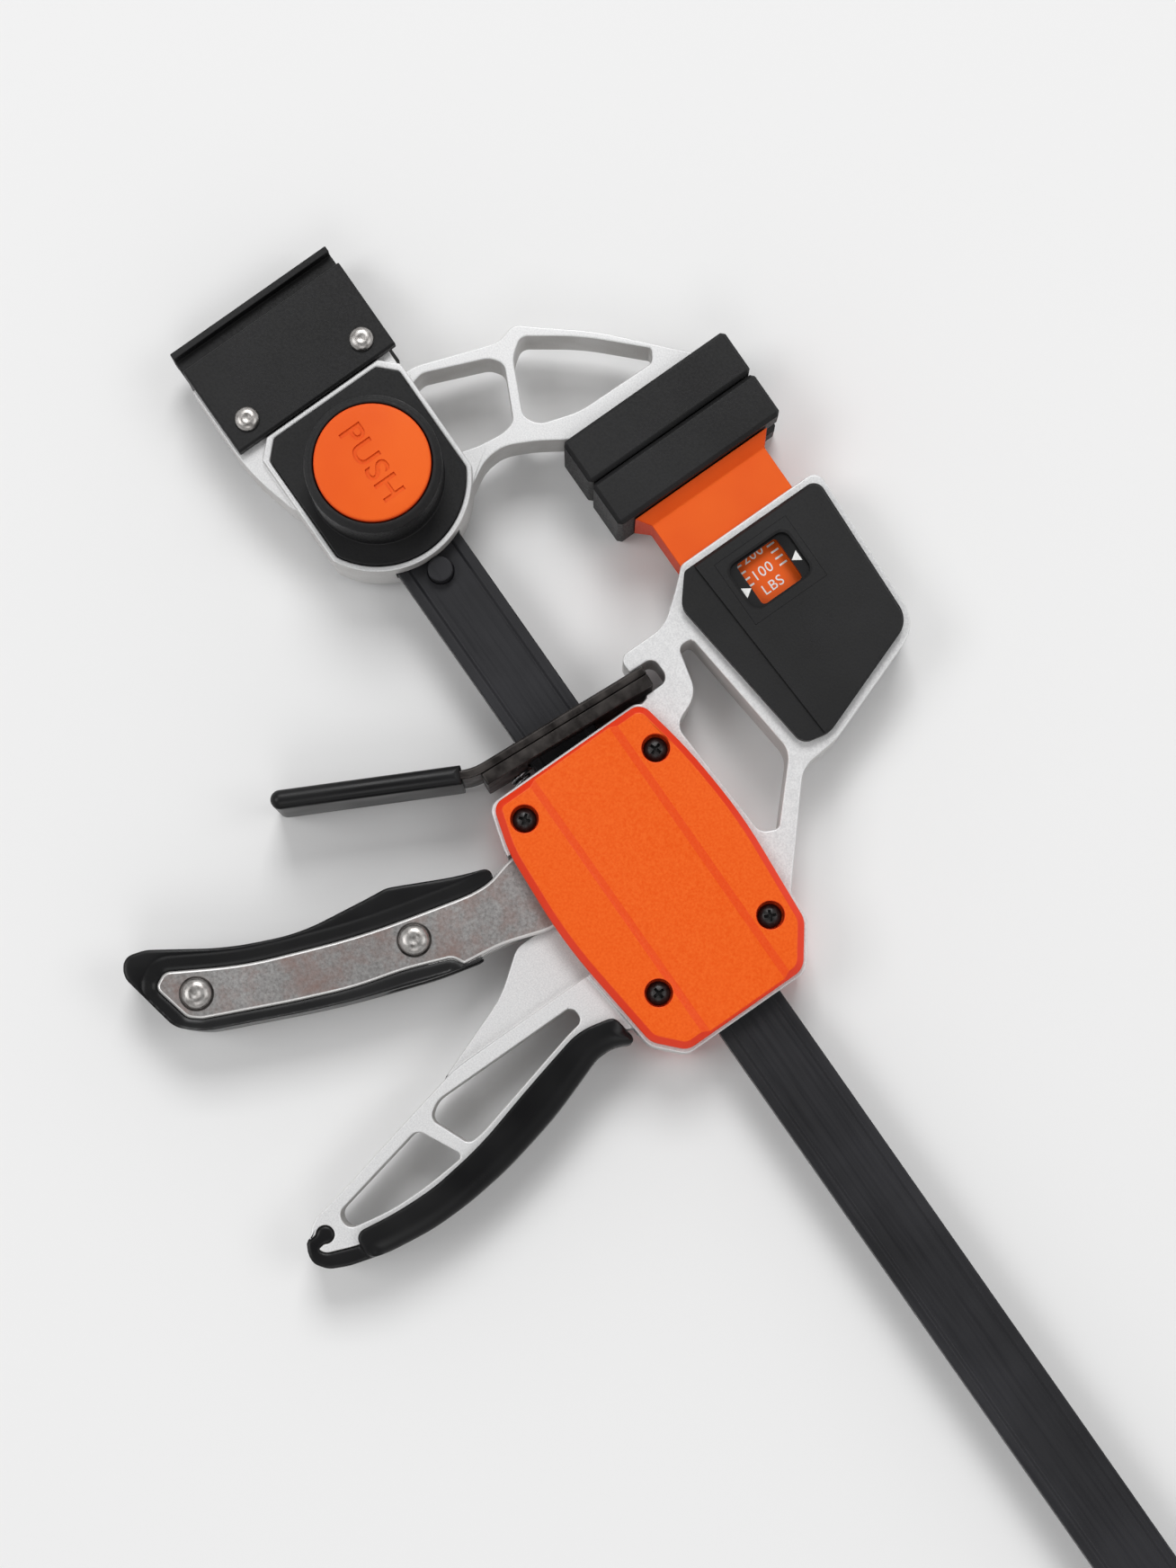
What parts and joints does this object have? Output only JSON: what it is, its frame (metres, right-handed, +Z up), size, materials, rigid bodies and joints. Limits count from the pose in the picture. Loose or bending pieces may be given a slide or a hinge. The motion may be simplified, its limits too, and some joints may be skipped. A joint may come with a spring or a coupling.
{
  "type": "bar clamp",
  "caption": "One-handed bar clamp with a fixed jaw on a flat steel bar, a sliding carriage with squeeze trigger, handle and release lever, and a pressure gauge behind the moving pad.",
  "frame": {"origin": "middle of the bounding box's underside, with the clamp lying on its rear covers", "axes": "+X along the bar from the fixed jaw to the free end, +Y across the bar towards the jaws, +Z up out of the clamp's front"},
  "size_m": [0.539, 0.2212, 0.0392],
  "materials": {
    "bar_steel": "black oxide, satin",
    "casting": "fine blasted die casting",
    "orange_gloss": "glossy moulded plastic",
    "orange_matte": "fine-grained moulded plastic",
    "black_plastic": "fine-grained moulded plastic",
    "black_rubber": "smooth soft moulding",
    "zinc_steel": "zinc-plated, mottled",
    "dark_steel": "oiled dark steel",
    "bright_steel": "bright plated",
    "spring_steel": "drawn wire"
  },
  "bodies": {
    "fixed_end": {"bar": "bar_steel", "bar_stop_pins": "bar_steel", "fixed_jaw_frame": "casting", "fixed_jaw_pad": "black_plastic", "joining_rail": "black_plastic", "joining_rail_rivets": "bright_steel", "lock_housing_front": "black_plastic", "lock_housing_rear": "black_plastic", "button_spring": "spring_steel"},
    "lock_button": {"push_button": "orange_matte", "lock_pin": "bright_steel"},
    "carriage": {"carriage_frame": "casting", "front_cover": "orange_gloss", "rear_cover": "orange_gloss", "trigger_pivot_pin": "bright_steel", "drive_spring": "spring_steel", "brake_spring": "spring_steel", "handle_grip": "black_rubber", "gauge_front_cover": "black_plastic", "gauge_rear_cover": "black_plastic", "gauge_spring": "spring_steel"},
    "trigger": {"trigger_plate_front": "zinc_steel", "trigger_plate_rear": "zinc_steel", "trigger_grip": "black_rubber", "trigger_rivets": "bright_steel"},
    "drive": {"drive_plate": "dark_steel"},
    "release": {"release_lever": "dark_steel", "locking_plate": "dark_steel", "release_lever_sleeve": "black_rubber"},
    "gauge_slide": {"gauge_plunger": "orange_matte", "gauge_scale": "orange_matte", "moving_jaw_pad": "black_plastic"}
  },
  "joints": [
    {"name": "carriage_slide", "type": "slide", "parent": "fixed_end", "child": "carriage", "axis": [1, 0, 0], "range_m": [0, 0.305]},
    {"name": "trigger_squeeze", "type": "hinge", "parent": "carriage", "child": "trigger", "pos_m": [-0.1037, 0.03261, 0.013], "axis": [0, 0, 1], "range_deg": [0, 15], "stiffness_Nm_per_rad": 1.2, "springref_deg": -14.32},
    {"name": "drive_plate_slide", "type": "slide", "parent": "carriage", "child": "drive", "axis": [1, 0, 0], "range_m": [0, 0.0063], "deforming": ["drive_spring"]},
    {"name": "release_press", "type": "hinge", "parent": "carriage", "child": "release", "pos_m": [-0.1322, 0.04618, 0.013], "axis": [0, 0, 1], "range_deg": [0, 3.7], "stiffness_Nm_per_rad": 4, "springref_deg": -5.73, "deforming": ["brake_spring"]},
    {"name": "gauge_press", "type": "slide", "parent": "carriage", "child": "gauge_slide", "axis": [1, 0, 0], "range_m": [0, 0.0095], "stiffness_N_per_m": 2000, "springref_m": -0.005, "deforming": ["gauge_spring"]},
    {"name": "button_press", "type": "slide", "parent": "fixed_end", "child": "lock_button", "axis": [0, 0, -1], "range_m": [0, 0.0069], "stiffness_N_per_m": 800, "springref_m": -0.004, "deforming": ["button_spring"]}
  ],
  "couplings": [
    {"joint": "drive_plate_slide", "follows": "trigger_squeeze", "m_per_rad": 0.024}
  ]
}
